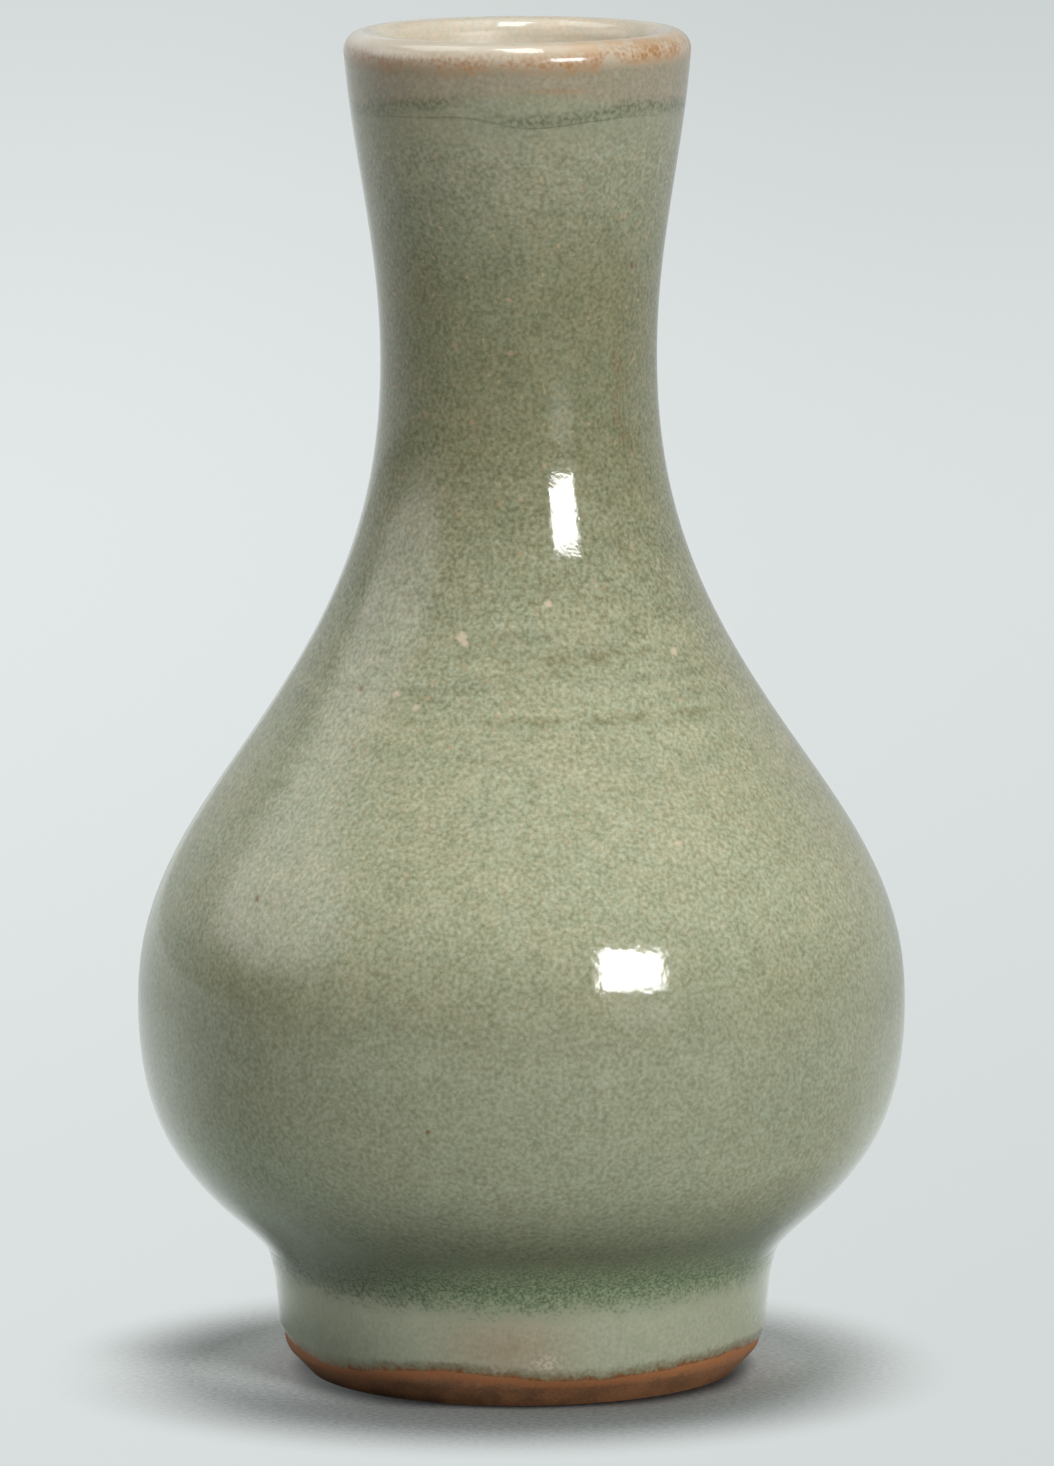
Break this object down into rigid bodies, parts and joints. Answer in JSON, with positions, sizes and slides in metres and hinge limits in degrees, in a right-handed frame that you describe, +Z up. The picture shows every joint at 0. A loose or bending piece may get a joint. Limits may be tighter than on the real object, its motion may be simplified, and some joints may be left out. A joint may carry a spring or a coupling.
{
  "type": "bottle vase",
  "caption": "Small pear-shaped bottle vase in celadon-glazed stoneware, with a slender flared neck, rounded lip, full low belly and turned foot ring; holds a stem or two.",
  "frame": {"origin": "centre of the foot ring's bearing face, on the surface that the vase stands on", "axes": "+Z up along the axis of turning; the vase is round, so X and Y are free, and the picture looks along +Y"},
  "size_m": [0.0742, 0.0742, 0.13],
  "materials": {
    "stoneware": "matte",
    "bare_clay": "matte",
    "luting_slip": "matte",
    "thin_glaze": "gloss",
    "celadon_glaze": "gloss",
    "cream_glaze": "gloss"
  },
  "bodies": {
    "root": {"foot_ring": "bare_clay", "foot_joint_slip": "luting_slip", "lower_belly": "stoneware", "belly_joint_slip": "luting_slip", "upper_belly": "stoneware", "shoulder_joint_slip": "luting_slip", "neck": "stoneware", "first_glaze_coat": "thin_glaze", "second_glaze_coat": "celadon_glaze", "inside_glaze_coat": "cream_glaze", "base_glaze_coat": "thin_glaze"}
  },
  "joints": []
}
